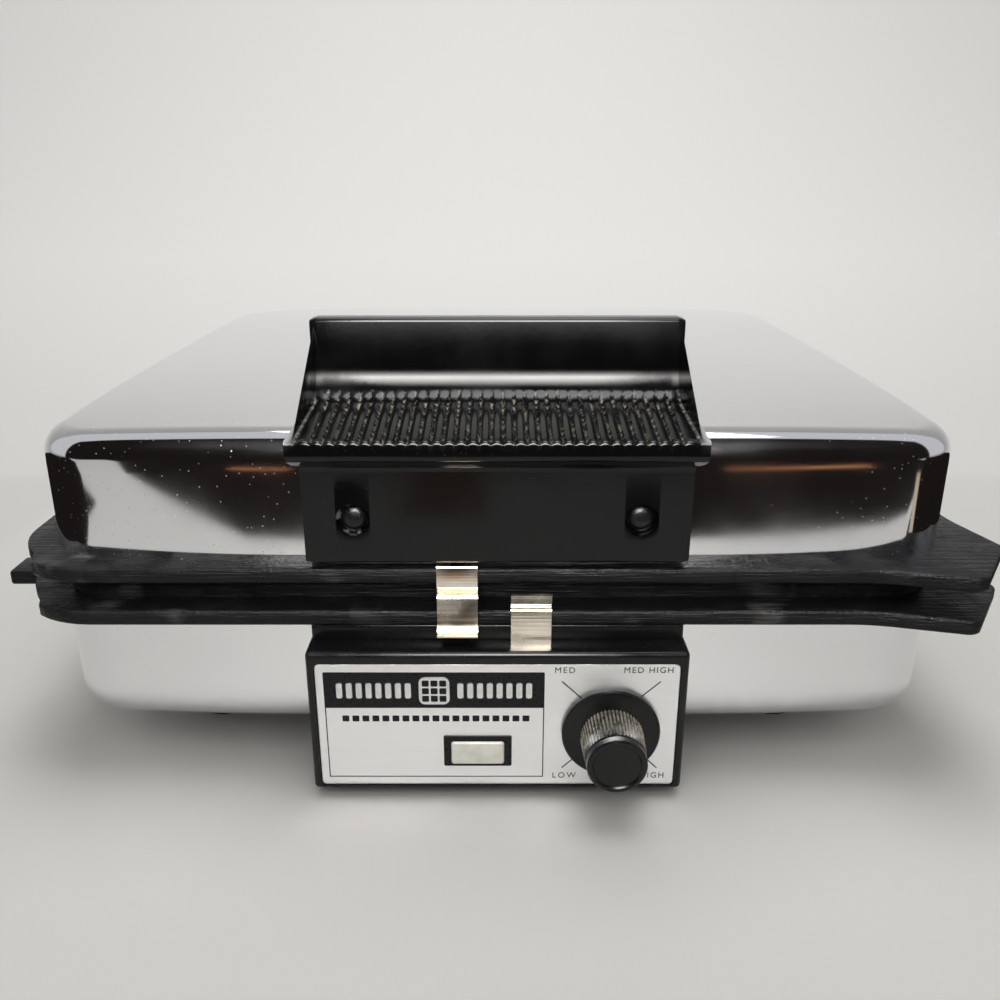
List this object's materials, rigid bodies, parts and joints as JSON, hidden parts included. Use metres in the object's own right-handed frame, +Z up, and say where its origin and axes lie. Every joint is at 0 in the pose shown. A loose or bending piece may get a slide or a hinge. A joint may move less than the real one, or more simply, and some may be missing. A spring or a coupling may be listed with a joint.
{
  "type": "waffle maker",
  "caption": "Free-standing grill and waffle baker: chrome base and floating hinged lid around two cast grids, front handle, dial and signal lens.",
  "frame": {"origin": "on the table, under the middle of the whole machine's box", "axes": "+X to the user's right, +Y to the back where the hinge is, +Z up"},
  "size_m": [0.338, 0.3206, 0.152],
  "materials": {
    "chrome_shell": "polished chrome plate on pressed steel",
    "grid_coating": "black non-stick coating on cast aluminium",
    "black_moulding": "gloss black phenolic moulding",
    "face_metal": "brushed aluminium sheet",
    "lens_cream": "translucent cream lens",
    "lamp_glass": "neon lamp",
    "clip_nickel": "nickel-plated spring strip",
    "bright_tray": "bright tray",
    "heating_rod": "oxidised sheath",
    "ceramic": "ceramic saddle",
    "hardware_steel": "plated steel",
    "thermostat_metal": "zinc-plated frame",
    "pin_nickel": "nickel-plated brass",
    "lead_sleeve": "woven glass sleeve",
    "foot_black": "matt black moulding"
  },
  "bodies": {
    "base_unit": {"base_shell": "chrome_shell", "base_reflector": "bright_tray", "base_element": "heating_rod", "base_element_clips": "ceramic", "lower_grid": "grid_coating", "lower_grid_catches": "clip_nickel", "control_housing": "black_moulding", "housing_screws": "hardware_steel", "face_plate": "face_metal", "lamp_lens": "lens_cream", "signal_lamp": "lamp_glass", "thermostat": "thermostat_metal", "feet": "foot_black", "foot_screws": "hardware_steel", "foot_nuts": "hardware_steel", "inlet_housing": "black_moulding", "inlet_pins": "pin_nickel", "rear_hinge_housing": "black_moulding", "hinge_housing_screws": "hardware_steel", "base_wiring": "lead_sleeve", "lower_clip_rivet": "clip_nickel"},
    "hinge_float": {"hinge_carrier": "hardware_steel", "hinge_tube": "hardware_steel"},
    "lid_unit": {"lid_hinge_arms": "hardware_steel", "hinge_arm_rivets": "hardware_steel", "lid_shell": "chrome_shell", "lid_reflector": "bright_tray", "lid_element": "heating_rod", "lid_element_clips": "ceramic", "upper_grid": "grid_coating", "upper_grid_catches": "clip_nickel", "front_handle": "black_moulding", "handle_screws": "hardware_steel", "handle_bracket": "hardware_steel", "upper_clip_rivet": "clip_nickel", "lead_collar": "black_moulding", "lid_wiring": "lead_sleeve"},
    "knob_unit": {"control_knob": "black_moulding", "thermostat_shaft": "pin_nickel"},
    "upper_clip_spring": {"upper_clip": "clip_nickel"},
    "lower_clip_spring": {"lower_clip": "clip_nickel"}
  },
  "joints": [
    {"name": "lid_lift", "type": "slide", "parent": "base_unit", "child": "hinge_float", "axis": [0, 0, 1], "range_m": [0, 0.008]},
    {"name": "lid_open", "type": "hinge", "parent": "hinge_float", "child": "lid_unit", "pos_m": [0, 0.1548, 0.076], "axis": [-1, 0, 0], "range_deg": [0, 180]},
    {"name": "knob_turn", "type": "hinge", "parent": "base_unit", "child": "knob_unit", "pos_m": [0.0363, -0.15, 0.0255], "axis": [0, -1, 0], "range_deg": [0, 270]},
    {"name": "lower_clip_flex", "type": "hinge", "parent": "base_unit", "child": "lower_clip_spring", "pos_m": [0.0106, -0.1283, 0.041], "axis": [1, 0, 0], "range_deg": [0, 8], "stiffness_Nm_per_rad": 0.3, "springref_deg": -5.73},
    {"name": "upper_clip_flex", "type": "hinge", "parent": "lid_unit", "child": "upper_clip_spring", "pos_m": [-0.0125, -0.1283, 0.0872], "axis": [-1, 0, 0], "range_deg": [0, 8], "stiffness_Nm_per_rad": 0.3, "springref_deg": -5.73}
  ]
}
